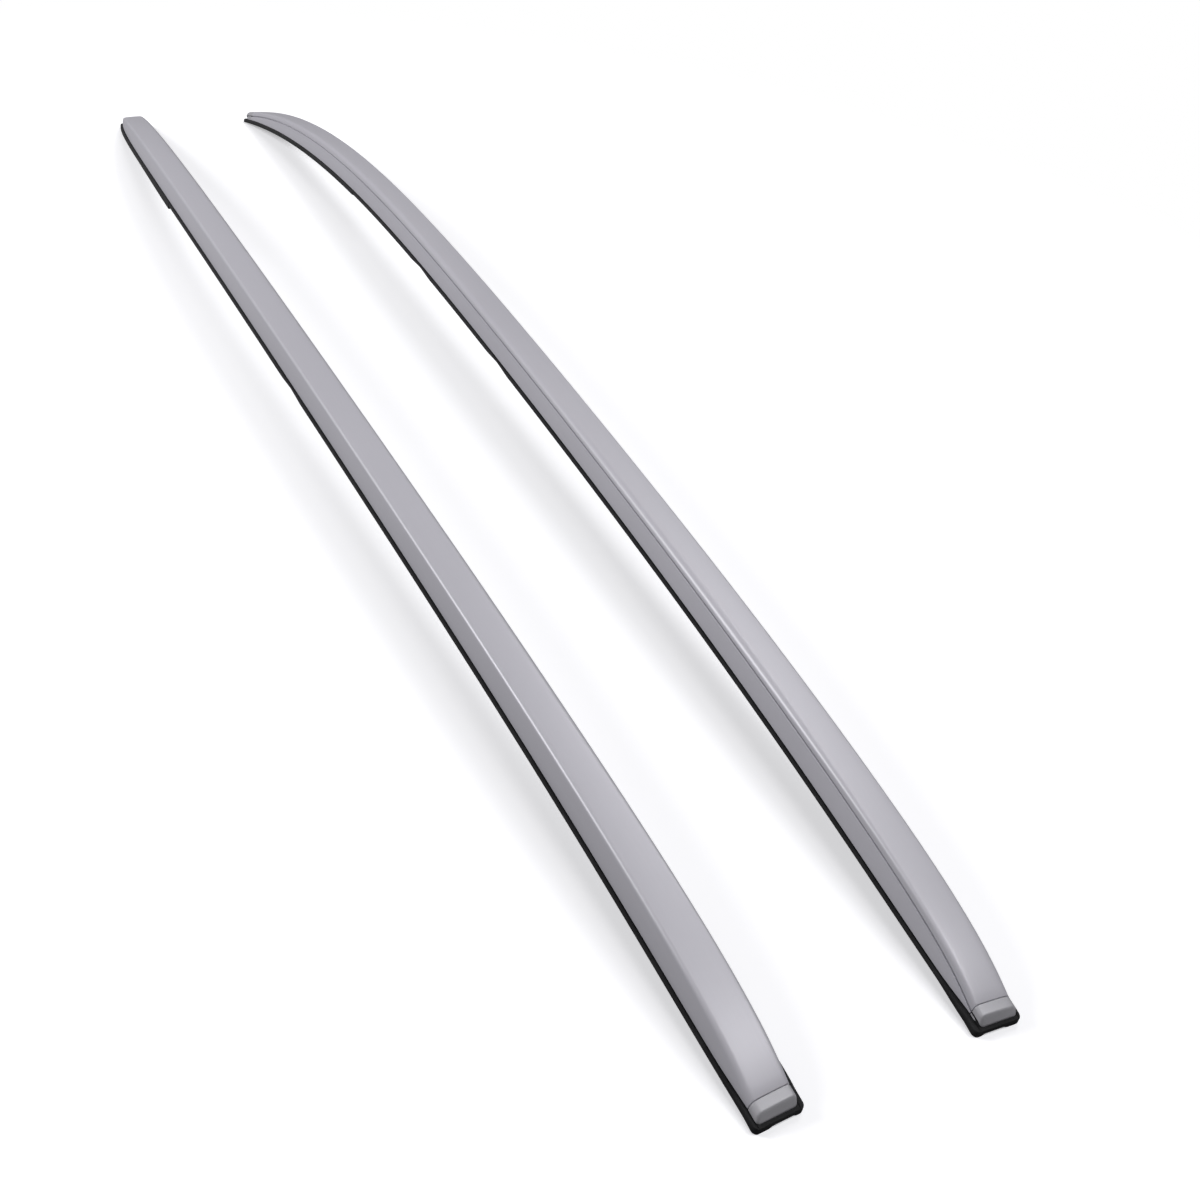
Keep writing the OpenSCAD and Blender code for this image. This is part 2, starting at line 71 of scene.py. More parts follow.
class Finish:
    def __init__(self, name):
        self.material = bpy.data.materials.new(name)
        self.material.use_nodes = True
        self.tree = self.material.node_tree
        self.tree.nodes.clear()

    def add(self, kind, settings=None, sockets=None, out=0):
        node = self.tree.nodes.new(kind)
        for name, setting in (settings or {}).items():
            setattr(node, name, setting)
        for name, value in (sockets or {}).items():
            if isinstance(value, Value):
                self.tree.links.new(value.socket, node.inputs[name])
            else:
                node.inputs[name].default_value = value
        return Value(self, node.outputs[out]) if node.outputs else node

    def calculate(self, operation, *values):
        return self.add("ShaderNodeMath", {"operation": operation}, dict(enumerate(values)))

    def place(self, source="Object", stretch=(1.0, 1.0, 1.0)):
        where = self.add("ShaderNodeTexCoord", out=source)
        return self.add("ShaderNodeVectorMath", {"operation": "MULTIPLY"}, {0: where, 1: stretch})

    def noise(self, scale, detail=3.0, vector=None):
        sockets = {"Vector": vector or self.place(), "Scale": scale, "Detail": detail}
        return self.add("ShaderNodeTexNoise", None, sockets)

    def blend(self, factor, first, second):
        sockets = {"Factor": factor, 6: first, 7: second}
        return self.add("ShaderNodeMix", {"data_type": "RGBA"}, sockets, 2)

    def bump(self, height, strength, distance):
        return self.add("ShaderNodeBump", None, {"Height": height, "Strength": strength, "Distance": distance})

    def surface(self, sockets):
        shader = self.add("ShaderNodeBsdfPrincipled", None, sockets)
        self.add("ShaderNodeOutputMaterial", None, {"Surface": shader})
        return self.material


def grey(red, green, blue):
    return (red, green, blue, 1.0)


# Satin anodised silver of the extrusions, with drawing streaks along them
railMetalLook = dict(
    silver=grey(0.535, 0.525, 0.575), shade=grey(0.51, 0.50, 0.55), metallic=0.1, roughness=0.4,
    streaks=(7.0, 1100.0, 1.0), cloudScale=2.2, grainScale=1500.0, bumpDepth=0.00006)


def makeRailMetal():
    look = railMetalLook
    finish = Finish("satin_anodised_silver")
    streaks = finish.noise(1.0, 2.0, finish.place("UV", look["streaks"]))
    clouds = finish.noise(look["cloudScale"], 4.0)
    grain = finish.noise(look["grainScale"], 2.0)
    tone = (streaks * 0.3 + clouds * 0.7).smoothly(0.3, 0.7)
    return finish.surface({
        "Base Color": finish.blend(tone, look["shade"], look["silver"]),
        "Metallic": look["metallic"],
        "Roughness": look["roughness"] - 0.05 + streaks * 0.05 + clouds * 0.05,
        "Normal": finish.bump(streaks * 0.6 + grain * 0.4, 0.15, look["bumpDepth"])})


# Painted plastic of the end caps, matched to the rail but flatter
capSilverLook = dict(
    silver=grey(0.435, 0.43, 0.46), shade=grey(0.42, 0.414, 0.445), metallic=0.1, roughness=0.42,
    flakeScale=2600.0, peelScale=320.0, bumpDepth=0.00008)


def makeCapSilver():
    look = capSilverLook
    finish = Finish("silver_cap_paint")
    flakes = finish.noise(look["flakeScale"], 1.0)
    peel = finish.noise(look["peelScale"], 2.0)
    return finish.surface({
        "Base Color": finish.blend(flakes.smoothly(0.35, 0.65), look["shade"], look["silver"]),
        "Metallic": look["metallic"],
        "Roughness": look["roughness"] - 0.03 + flakes * 0.06,
        "Normal": finish.bump(peel, 0.1, look["bumpDepth"])})


# Moulded rubber of the pads and seals: matt, with faint dusty patches, and a colour that grows paler towards the rear
# along Y
sealRubberLook = dict(
    black=grey(0.010, 0.010, 0.011), paler=grey(0.034, 0.034, 0.036), roughness=0.6,
    dustScale=45.0, palingFrom=-0.7, palingTo=0.7, grainScale=900.0, bumpDepth=0.0002)


def makeSealRubber():
    look = sealRubberLook
    finish = Finish("moulded_black_rubber")
    dust = finish.noise(look["dustScale"], 5.0)
    grain = finish.noise(look["grainScale"], 3.0)
    along = finish.add("ShaderNodeSeparateXYZ", None, {"Vector": finish.place()}, "Y")
    # the tone mixes dusty patches with a paling of the colour from front to rear along Y
    tone = dust.smoothly(0.42, 0.72) * 0.3 + along.smoothly(look["palingFrom"], look["palingTo"]) * 0.7
    return finish.surface({
        "Base Color": finish.blend(tone, look["black"], look["paler"]),
        "Roughness": look["roughness"] + dust * 0.15,
        "Specular IOR Level": 0.2,
        "Normal": finish.bump(grain, 0.25, look["bumpDepth"])})


# Closed cell foam of the rings round the bosses
foamLook = dict(black=grey(0.012, 0.012, 0.013), pore=grey(0.03, 0.03, 0.03), poreScale=1800.0, bumpDepth=0.0004)


def makeFoam():
    look = foamLook
    finish = Finish("closed_cell_foam")
    cells = finish.add("ShaderNodeTexVoronoi", None, {"Vector": finish.place(), "Scale": look["poreScale"]})
    return finish.surface({
        "Base Color": finish.blend(cells.smoothly(0.2, 0.6), look["black"], look["pore"]),
        "Roughness": 0.95,
        "Normal": finish.bump(cells, 0.6, look["bumpDepth"])})


# Cast light metal of the fixing feet
footMetalLook = dict(
    light=grey(0.60, 0.605, 0.61), dark=grey(0.46, 0.465, 0.47), roughness=0.5, castScale=650.0, bumpDepth=0.0003)


def makeFootMetal():
    look = footMetalLook
    finish = Finish("cast_light_metal")
    cast = finish.noise(look["castScale"], 4.0)
    stain = finish.noise(25.0, 4.0)
    return finish.surface({
        "Base Color": finish.blend(stain.smoothly(0.3, 0.75), look["light"], look["dark"]),
        "Metallic": 0.9,
        "Roughness": look["roughness"] + cast * 0.15,
        "Normal": finish.bump(cast, 0.5, look["bumpDepth"])})


# Zinc plated steel of the inserts, slide nuts and screws
fixingSteelLook = dict(
    zinc=grey(0.60, 0.60, 0.57), tarnish=grey(0.50, 0.48, 0.38), roughness=0.33, spangleScale=160.0, bumpDepth=0.0001)


def makeFixingSteel():
    look = fixingSteelLook
    finish = Finish("zinc_plated_steel")
    spangle = finish.noise(look["spangleScale"], 3.0)
    fine = finish.noise(1500.0, 2.0)
    return finish.surface({
        "Base Color": finish.blend(spangle.smoothly(0.4, 0.7), look["zinc"], look["tarnish"]),
        "Metallic": 1.0,
        "Roughness": look["roughness"] + spangle * 0.15,
        "Normal": finish.bump(fine, 0.2, look["bumpDepth"])})


finishes = {
    "rail_metal": makeRailMetal(), "cap_plastic": makeCapSilver(), "seal_rubber": makeSealRubber(),
    "foam": makeFoam(), "foot_metal": makeFootMetal(), "fixing_steel": makeFixingSteel()}
print("finishes made:", len(finishes))


# The rails' common shape: the path that they follow and the size of their outside
railShape = dict(
    length=2000.0, spacing=212.0, height=26.6, topWidth=36.3, baseFlare=11.3,
    topShift=1.6, topRise=1.7, topCrown=0.5,
    archRise=67.0, archSkew=18.5, archFullness=37.5,
    bowMiddle=24.5, bowSkew=19.5, bowFullness=15.0, bowTail=9.5,
    frontHook=0.8, rearHook=3.6, hookLength=60.0,
    frontHeight=9.4, frontTaper=50.0, rearHeight=9.6, rearTaper=140.0,
    frontNarrowing=1.6, narrowingLength=100.0, rearNarrowing=4.6, rearNarrowingLength=150.0,
    frontLip=3.0, frontCap=13.0, rearLip=1.0, rearCap=20.0, seatEnd=60.0, seatRise=1.5,
    frontSkew=3.0)

frontSeam = railShape["frontLip"] + railShape["frontCap"]
rearSeam = railShape["length"] - railShape["rearLip"] - railShape["rearCap"]


def smoothStep(value, low, high):
    t = max(0.0, min(1.0, (value - low) / (high - low)))
    return t * t * (3 - 2 * t)


def fade(distance, reach):  # 1 at an end, falling away from it
    return math.exp(-max(distance, 0.0) / reach)


def bow(u):  # u is the distance from the front end
    s = railShape
    t = 2 * u / s["length"] - 1
    curve = s["bowMiddle"] + s["bowSkew"] * t + s["bowFullness"] * t ** 2 + s["bowTail"] * t ** 3
    hooks = s["frontHook"] * fade(u, s["hookLength"]) + s["rearHook"] * fade(s["length"] - u, s["hookLength"])
    return (1 - t * t) * curve - hooks


def baseHeight(u):
    s, p = railShape, sealShape
    t = 2 * u / s["length"] - 1
    arch = (1 - t * t) * (s["archRise"] + s["archSkew"] * t + s["archFullness"] * t ** 2)
    front = p["frontThickness"] + p["frontSwell"]
    rear = p["rearThickness"] + p["rearStep"]
    return arch + front + (rear - front) * u / s["length"]


def railHeight(u):
    s = railShape
    atFront = (s["height"] - s["frontHeight"]) * fade(u - frontSeam, s["frontTaper"])
    atRear = (s["height"] - s["rearHeight"]) * fade(s["length"] - u, s["rearTaper"])
    return s["height"] - atFront - atRear


def halfTop(u):
    s = railShape
    atFront = s["frontNarrowing"] * fade(u, s["narrowingLength"])
    atRear = s["rearNarrowing"] * fade(s["length"] - u, s["rearNarrowingLength"])
    return (s["topWidth"] - atFront - atRear) / 2


def tipShare(u):  # 1 under the front cap, 0 from the first foot on
    t = (railShape["seatEnd"] - u) / (railShape["seatEnd"] - frontSeam)
    return smoothStep(t, 0, 1)


def seat(u):  # height of the pad's top face over the base line
    return railShape["seatRise"] * tipShare(u)


def outerEdge(u, z):
    s = railShape
    slope = (s["baseFlare"] / 2 - s["topShift"]) / s["height"]
    return halfTop(u) + s["topShift"] + (railHeight(u) - z) * slope


def innerEdge(u, z):
    s = railShape
    slope = (s["baseFlare"] / 2 + s["topShift"]) / (s["height"] + s["topRise"])
    return s["topShift"] - halfTop(u) - (railHeight(u) + s["topRise"] - z) * slope


def skewed(u, x):  # the front end's inner corner lies back
    outerCorner = outerEdge(0, 0) + sealShape["margin"] - sealShape["padCorner"]
    return (outerCorner - x) * math.tan(math.radians(railShape["frontSkew"])) * tipShare(u)


def onPath(u, side, point):
    x, z = point[0], point[1]
    return Vector((
        sides[side] * (railShape["spacing"] / 2 + bow(u) + x),
        u - railShape["length"] / 2 + skewed(u, x),
        baseHeight(u) + z)) * mm


# Section outlines: corners are (x, z, radius), and each round corner becomes the same number of points
def roundedOutline(corners, steps=6):
    points = []
    for i, (x, z, radius) in enumerate(corners):
        corner = Vector((x, z))
        if radius <= 0:
            points.append(corner)
            continue
        back = (Vector(corners[i - 1][:2]) - corner).normalized()
        ahead = (Vector(corners[(i + 1) % len(corners)][:2]) - corner).normalized()
        half = math.acos(max(-1.0, min(1.0, back.dot(ahead)))) / 2
        centre = corner + (back + ahead).normalized() * (radius / math.sin(half))
        start = corner + back * (radius / math.tan(half)) - centre
        end = corner + ahead * (radius / math.tan(half)) - centre
        turn = math.atan2(start.x * end.y - start.y * end.x, start.dot(end))
        for k in range(steps + 1):
            angle = turn * k / steps
            points.append(centre + Matrix.Rotation(angle, 2) @ start)
    return points


def insetOutline(points, depth):  # moves each point into the section
    if depth <= 0:
        return points
    moved = []
    for i, point in enumerate(points):
        ahead = points[(i + 1) % len(points)] - points[i - 1]
        inward = Vector((-ahead.y, ahead.x)).normalized()
        moved.append(point + inward * depth)
    return moved


def endLoss(distance, radius):  # how far a round end of that radius draws in, at a distance from its tip
    if distance >= radius:
        return 0.0
    return radius - math.sqrt(max(0.0, radius ** 2 - (radius - distance) ** 2))


def stationsFrom(start, end, step, startRound=0.0, endRound=0.0, steps=6):
    marks = {start, end}
    for k in range(1, steps + 1):
        draw = 1 - math.cos(math.pi / 2 * k / steps)
        marks.add(start + startRound * draw)
        marks.add(end - endRound * draw)
    inner = [start + startRound, end - endRound]
    count = max(1, math.ceil((inner[1] - inner[0]) / step))
    marks.update(inner[0] + (inner[1] - inner[0]) * k / count for k in range(count + 1))
    ordered = sorted(marks)
    return [u for i, u in enumerate(ordered) if i == 0 or u - ordered[i - 1] > 0.001]


def sweepPiece(name, side, stations, section, slot, smoothAngle=32):
    rings = [[onPath(u, side, point) for point in section(u)] for u in stations]
    count = len(rings[0])
    vertices = [vertex for ring in rings for vertex in ring]
    faces = []
    for j in range(len(rings) - 1):
        for i in range(count):
            k = (i + 1) % count
            faces.append((j * count + i, j * count + k, (j + 1) * count + k, (j + 1) * count + i))
    faces.append(tuple(reversed(range(count))))
    faces.append(tuple((len(rings) - 1) * count + i for i in range(count)))
    mesh = bpy.data.meshes.new(name)
    mesh.from_pydata(vertices, [], faces)
    around = [0.0]
    for i in range(count):
        around.append(around[-1] + (rings[0][(i + 1) % count] - rings[0][i]).length)
    layer = mesh.uv_layers.new(name="along")
    for face in mesh.polygons:
        for loop in face.loop_indices:
            vertex = mesh.loops[loop].vertex_index
            station, point = divmod(vertex, count)
            layer.data[loop].uv = (stations[station] * mm, around[point])
    return addPiece(name, mesh, slot, smoothAngle)


def addPiece(name, mesh, slot, smoothAngle=32):
    work = bmesh.new()
    work.from_mesh(mesh)
    bmesh.ops.recalc_face_normals(work, faces=work.faces)
    work.to_mesh(mesh)
    work.free()
    mesh.shade_smooth()
    mesh.set_sharp_from_angle(angle=math.radians(smoothAngle))
    piece = bpy.data.objects.new(name, mesh)
    bpy.context.scene.collection.objects.link(piece)
    mesh.materials.append(finishes[slot])
    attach(piece, "root")
    return piece


# The extrusion: top wall with round edges, side walls, running groove and slide nut channel
profileShape = dict(
    sideWall=2.4, topWall=2.6, outerEdgeRadius=4.0, frontRounding=2.5, lowerEdgeRadius=0.5,
    innerEdgeRadius=4.0, innerRounding=3.5, innerRoundingFrom=120.0, innerRoundingTo=420.0,
    edgeReach=0.86, crownPoints=8,
    grooveDrop=7.5, grooveWidth=1.6, grooveDepth=2.2, grooveLipRadius=0.35,
    channelWidth=15.0, channelDepth=3.4, channelSlot=8.5, channelLip=1.8,
    seamGap=0.5, seamRound=0.5, step=8.0)


def profileOutside(u):
    s, p = railShape, profileShape
    height, half, shift, rise = railHeight(u), halfTop(u), railShape["topShift"], railShape["topRise"]
    grooveTop = height + rise - p["grooveDrop"] + p["grooveWidth"] / 2
    grooveLow = grooveTop - p["grooveWidth"]
    base = seat(u)
    outerRadius = p["outerEdgeRadius"] + p["frontRounding"] * fade(u, s["narrowingLength"])
    innerRadius = p["innerEdgeRadius"] + p["innerRounding"] * smoothStep(
        u, p["innerRoundingFrom"], p["innerRoundingTo"])
    first, last = p["edgeReach"] * outerRadius / (2 * half), 1 - p["edgeReach"] * innerRadius / (2 * half)
    crown = []
    for k in range(1, p["crownPoints"]):  # between the two round edges
        t = first + (last - first) * k / p["crownPoints"]
        crown.append((shift + half - 2 * half * t, height + rise * t + 4 * s["topCrown"] * t * (1 - t), 0))
    return [
        (outerEdge(u, base), base, p["lowerEdgeRadius"]),
        (shift + half, height, outerRadius),
        *crown,
        (shift - half, height + rise, innerRadius),
        (innerEdge(u, grooveTop), grooveTop, p["grooveLipRadius"]),
        (innerEdge(u, grooveTop) + p["grooveDepth"], grooveTop, 0),
        (innerEdge(u, grooveLow) + p["grooveDepth"], grooveLow, 0),
        (innerEdge(u, grooveLow), grooveLow, p["grooveLipRadius"]),
        (innerEdge(u, base), base, p["lowerEdgeRadius"])]


def profileInside(u):
    p = profileShape
    height, rise, middle = railHeight(u), railShape["topRise"], railShape["topShift"]
    wall, depth = p["sideWall"], p["grooveDepth"]
    roof = height + rise / 2 - p["topWall"]
    lip = roof - p["channelDepth"]
    half, slot, edge = p["channelWidth"] / 2, p["channelSlot"] / 2, p["channelLip"]
    base = seat(u)
    low = max(base + 0.3, height + rise - p["grooveDrop"] - p["grooveWidth"] / 2 - wall * 0.75)
    return [(x, z, 0) for x, z in (
        (innerEdge(u, base) + wall, base), (innerEdge(u, low) + wall, low),
        (innerEdge(u, low) + wall + depth, low + 0.4), (innerEdge(u, roof) + wall + depth, roof + 0.4 * rise),
        (middle - half - edge, roof + 0.3 * rise), (middle - half - edge, lip - edge),
        (middle - slot, lip - edge), (middle - slot, lip), (middle - half, lip), (middle - half, roof),
        (middle + half, roof), (middle + half, lip), (middle + slot, lip), (middle + slot, lip - edge),
        (middle + half + edge, lip - edge), (middle + half + edge, roof - 0.3 * rise),
        (outerEdge(u, roof) - wall, roof - 0.5 * rise), (outerEdge(u, base) - wall, base))]


def makeProfile(side):
    p = profileShape
    start, end = frontSeam + p["seamGap"] / 2, rearSeam - p["seamGap"] / 2

    def section(u):
        draw = endLoss(min(u - start, end - u), p["seamRound"])
        return insetOutline(roundedOutline(profileOutside(u) + profileInside(u)), draw)

    stations = stationsFrom(start, end, p["step"], p["seamRound"], p["seamRound"], 4)
    piece = sweepPiece(f"extrusion_{side}", side, stations, section, "rail_metal")
    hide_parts(f"rail_profile_{side}")


# The caps: the extrusion's outside sloping down to its nose, with a pocket below the groove on the inner side
capShape = dict(
    frontRake=4.5, rearRake=3.0, noseEdge=1.5, breakShare=0.35, frontCorner=3.5, rearCorner=4.0,
    edgeRadius=0.4, seamRound=0.4, tongueLength=26.0, tongueFit=0.3, step=1.0,
    lipHeight=1.2, lipReach=0.9, lipInset=0.2, lipBand=0.8, lipRunOut=1.6, lipLeast=0.15)


def grooveEdge(seam, side):  # height of the groove's upper (1) or lower (-1) edge
    p = profileShape
    return railHeight(seam) + railShape["topRise"] - p["grooveDrop"] + side * p["grooveWidth"] / 2


def noseShare(distance, rake):  # how far the sloping face has come down, 1 at the nose
    t, soft = max(0.0, 1 - distance / rake), capShape["breakShare"]
    return (t * t / (2 * soft) if t < soft else t - soft / 2) / (1 - soft / 2)


def capOutline(seam):
    p, c = profileShape, capShape
    ceiling, base = grooveEdge(seam, 1), seat(seam)
    outer = profileOutside(seam)
    upper = [corner for corner in outer if corner[1] > ceiling + 0.01 or corner[0] > 0]
    inset = p["grooveDepth"]
    lip = base + c["lipHeight"]
    return upper + [
        (innerEdge(seam, ceiling), ceiling, c["edgeRadius"]),
        (innerEdge(seam, ceiling) + inset, ceiling, 0),
        (innerEdge(seam, lip) + inset, lip, 0),
        (innerEdge(seam, lip) + c["lipInset"], lip, 0),
        (innerEdge(seam, base) + c["lipInset"], base, 0)]


def capPoint(point, u, end):  # where a point of the outline at the seam comes to in the cap
    c, s = capShape, railShape
    seam = frontSeam if end == "front" else rearSeam
    nose = s["frontLip"] if end == "front" else s["length"] - s["rearLip"]
    base = seat(u)
    full = railHeight(u) - base
    high = full - (full - c["noseEdge"]) * noseShare(abs(u - nose), c[f"{end}Rake"])
    width = outerEdge(seam, 0)
    narrow = (width - endLoss(abs(u - nose), c[f"{end}Corner"])) / width
    return Vector((point[0] * narrow, base + (point[1] - base) * high / (railHeight(seam) - base)))


def makeCap(end, side):
    c = capShape
    front = end == "front"
    seam = frontSeam if front else rearSeam
    nose = railShape["frontLip"] if front else railShape["length"] - railShape["rearLip"]
    gap = profileShape["seamGap"] / 2
    outline = roundedOutline(capOutline(seam))
    base = seat(seam)
    lipTop = base + c["lipHeight"]
    inner = innerEdge(seam, base)
    reach = abs(seam - nose) * c["lipReach"]

    def section(u):
        fromSeam = abs(u - seam) - gap
        lipShare = max(0.0, 1 - fromSeam / reach)
        shaped = []
        for point in outline:
            x, z = point.x, point.y
            if z <= lipTop + 0.01 and x < inner + c["lipBand"]:  # the lower lip runs out towards the nose
                x += profileShape["grooveDepth"] * (1 - min(1.0, lipShare * c["lipRunOut"]))
                z = base + (z - base) * max(c["lipLeast"], lipShare)
            shaped.append(capPoint((x, z), u, end))
        return insetOutline(shaped, endLoss(max(0.0, fromSeam), c["seamRound"]))

    low, high = sorted((nose, seam + (-gap if front else gap)))
    rake = c[f"{end}Rake"]
    rounds = (rake, c["seamRound"]) if front else (c["seamRound"], rake)
    stations = stationsFrom(low, high, c["step"], *rounds, 8)
    piece = sweepPiece(f"{end}_cap_shell_{side}", side, stations, section, "cap_plastic")
    tongue = makeTongue(end, side, seam, front)
    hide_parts(f"{end}_cap_{side}")
    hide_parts(f"{end}_cap_{side}")


def makeTongue(end, side, seam, front):
    c, p = capShape, profileShape

    def section(u):
        roof = railHeight(u) + railShape["topRise"] / 2 - p["topWall"]
        half = p["channelWidth"] / 2 - c["tongueFit"]
        top, low = roof - c["tongueFit"], roof - p["channelDepth"] + c["tongueFit"]
        middle, edge = railShape["topShift"], 0.4
        return roundedOutline([
            (middle + half, low, edge), (middle + half, top, edge),
            (middle - half, top, edge), (middle - half, low, edge)], 3)

    into = c["tongueLength"] if front else -c["tongueLength"]
    back = -p["seamGap"] - 1 if front else p["seamGap"] + 1
    low, high = sorted((seam + back, seam + into))
    return sweepPiece(f"{end}_cap_tongue_{side}", side, stationsFrom(low, high, 6.0), section, "cap_plastic")


# Pads and seals: rubber under the rail, with a lip that stands out around it
sealShape = dict(
    frontThickness=3.0, rearThickness=4.6, frontSwell=2.4, swellLength=25.0, rearStep=0.9,
    margin=3.4, rearFlange=0.5, padCorner=4.5, innerSpread=1.5,
    frontPadEnd=150.0, rearPadStart=1522.0, joint=985.0, feather=32.0, featherThickness=1.4, notch=1250.0,
    creaseWidth=1.3, creaseDepth=0.7, rimRadius=0.7, step=10.0,
    heelDepth=3.0, heelLength=218.0, recessDepth=2.2, recessLength=7.0,
    jointGap=0.35, shadeBlockStep=0.7, shadeBlockFit=0.3)


def sealThickness(u):
    p = sealShape
    along = u / railShape["length"]
    swell = p["frontSwell"] * fade(u, p["swellLength"])
    return p["frontThickness"] + (p["rearThickness"] - p["frontThickness"]) * along + swell


def sealOutline(u, margin, innerDepth, outerDepth, loss):
    p = sealShape
    base = seat(u)
    outer, inner = outerEdge(u, base), innerEdge(u, base)
    rim = min(1.0, innerDepth / 3)
    crease, depth = p["creaseWidth"], p["creaseDepth"]
    shrink = max(0.0, min(1.0, (margin - loss) / margin))
    soleOuter = outerEdge(u, 0) + margin - loss
    soleInner = innerEdge(u, 0) - margin + loss - p["innerSpread"] * tipShare(u)
    sole = []
    for k in range(1, 12):
        share = k / 12  # from the inner side to the outer side
        x = soleInner + (soleOuter - soleInner) * share
        thickness = innerDepth + (outerDepth - innerDepth) * share
        recess = smoothStep(1 - share, 0.22, 0.36) * (1 - smoothStep(1 - share, 0.84, 0.93))
        lift = p["recessDepth"] * recess * (1 - smoothStep(u, 1.0, p["recessLength"]))
        sole.append((x, -thickness + lift, 0))
    return [
        (soleOuter, -outerDepth, min(p["rimRadius"], outerDepth / 3)),
        (soleOuter - 0.15, base - rim - 0.4, 0.4),
        (soleOuter - 0.9, base - 0.05, 0.4),
        (outer + crease * 0.55 * shrink, base - 0.05, 0.15),
        (outer + crease * 0.1, base - depth * shrink, 0),
        (outer - crease * 0.45, base - depth * shrink, 0),
        (outer - crease * 0.5, base, 0),
        (inner + crease * 0.5, base, 0),
        (inner + crease * 0.45, base - depth * shrink, 0),
        (inner - crease * 0.1, base - depth * shrink, 0),
        (inner - crease * 0.55 * shrink, base - 0.05, 0.15),
        (soleInner + 0.9, base - 0.05, 0.4),
        (soleInner + 0.15, base - rim - 0.4, 0.4),
        (soleInner, -innerDepth, min(p["rimRadius"], innerDepth / 3)),
        *sole]


def makePad(name, side, start, end, margin, depthsAt, rounds):
    def section(u):
        innerDepth, outerDepth = depthsAt(u)
        near = min(u - start if rounds[0] else 1e3, end - u if rounds[1] else 1e3)
        loss = endLoss(near, sealShape["padCorner"])
        return roundedOutline(sealOutline(u, margin, innerDepth, outerDepth, loss), 3)

    stations = stationsFrom(start, end, sealShape["step"], *rounds, 8)
    piece = sweepPiece(f"{name}_rubber_{side}", side, stations, section, "seal_rubber")
    cutBossHoles(piece, side)
    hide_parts(f"{name}_{side}")


# painted shade: a black rubber block set into the pocket below the groove, where the recess lies in shade
def makeShadeBlock(side):  # fills the pocket on the front cap's inner side
    p, g = sealShape, profileShape
    base, deep = seat(frontSeam), profileShape["grooveDepth"] - sealShape["shadeBlockFit"]
    top = grooveEdge(frontSeam, 1) - p["shadeBlockFit"]
    outline = [
        (innerEdge(frontSeam, base) + deep, base - 0.5), (innerEdge(frontSeam, top) + deep, top),
        (innerEdge(frontSeam, top) + p["shadeBlockStep"], top),
        (innerEdge(frontSeam, base) + p["shadeBlockStep"], base - 0.5)]
    low, high = railShape["frontLip"] + 1.0, frontSeam - g["seamGap"] / 2

    def section(u):
        return roundedOutline([(*capPoint(point, u, "front"), 0.2) for point in outline], 3)

    piece = sweepPiece(f"front_pad_upstand_{side}", side, stationsFrom(low, high, 1.0), section, "seal_rubber")
    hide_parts(f"front_pad_{side}")


# Round holes of the seals for the bosses of the feet, each as large as the foam ring that sits in it
bossShape = dict(firstFoot=85.0, lastFoot=120.0, footCount=4, holeDiameter=26.5, facets=64)


def cutBossHoles(piece, side):
    b = bossShape
    pitch = (railShape["length"] - b["firstFoot"] - b["lastFoot"]) / (b["footCount"] - 1)
    cutters = bmesh.new()
    ends = [corner[1] for corner in piece.bound_box]
    for i in range(b["footCount"]):
        place = Matrix.Translation(onPath(b["firstFoot"] + i * pitch, side, (0, 0)))
        if not min(ends) < place.translation.y < max(ends):  # only the holes in this strip
            continue
        radius = b["holeDiameter"] / 2 * mm
        bmesh.ops.create_cone(cutters, cap_ends=True, segments=b["facets"], radius1=radius, radius2=radius,
                              depth=40 * mm, matrix=place)
    mesh = bpy.data.meshes.new("boss_cutters")
    cutters.to_mesh(mesh)
    cutters.free()
    cutter = bpy.data.objects.new("boss_cutters", mesh)
    bpy.context.scene.collection.objects.link(cutter)
    cut = piece.modifiers.new("boss_holes", "BOOLEAN")
    cut.operation, cut.object, cut.solver = "DIFFERENCE", cutter, "MANIFOLD"
    bpy.context.view_layer.update()
    graph = bpy.context.evaluated_depsgraph_get()
    finished = bpy.data.meshes.new_from_object(piece.evaluated_get(graph))
    piece.modifiers.clear()
    piece.data = finished
    bpy.data.objects.remove(cutter)


def makeSeals(side):
    p = sealShape
    length = railShape["length"]

    def padDepths(u):
        return (sealThickness(u),) * 2

    def rearDepths(u):  # the pad hangs lower on the outer side where it starts
        heel = p["heelDepth"] * smoothStep(p["rearPadStart"] + p["heelLength"] - u, 0, p["heelLength"])
        full = sealThickness(u) + p["rearStep"]
        return full, full + heel

    def stripDepths(u):
        thin, full = p["featherThickness"], sealThickness(u)
        joint = thin + (full - thin) * min(1.0, abs(u - p["joint"]) / p["feather"])
        notch = thin + (full - thin) * min(1.0, abs(u - p["notch"]) / p["feather"])
        return min(joint, notch), joint

    gap = p["jointGap"] / 2
    makePad("front_pad", side, 0, p["frontPadEnd"] - gap, p["margin"], padDepths, (p["padCorner"], 0))
    makeShadeBlock(side)
    makePad("front_seal", side, p["frontPadEnd"] + gap, p["joint"] - gap, p["margin"], stripDepths, (0, 0))
    makePad("rear_seal", side, p["joint"] + gap, p["rearPadStart"] - gap, p["margin"], stripDepths, (0, 0))
    makePad("rear_pad", side, p["rearPadStart"] + gap, length, p["margin"] + p["rearFlange"], rearDepths,
            (0, p["padCorner"]))


for side in sides:
    makeProfile(side)
    print("extrusion swept:", side)
    for end in ("front", "rear"):
        makeCap(end, side)
    print("caps shaped:", side)
    makeSeals(side)
    print("pads and seals swept:", side)

# The feet and fixings keep their solids and get their finishes
keptNodes = {
    "front_foot": "foot_metal", "middle_feet": "foot_metal", "rear_foot": "foot_metal",
    "threaded_inserts": "fixing_steel", "slide_nuts": "fixing_steel", "foot_screws": "fixing_steel",
    "foam_rings": "foam"}
for name, slot in keptNodes.items():
    for side in sides:
        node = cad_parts[f"{name}_{side}"]
        node.data.materials.clear()
        node.data.materials.append(finishes[slot])
print("fixings finished")


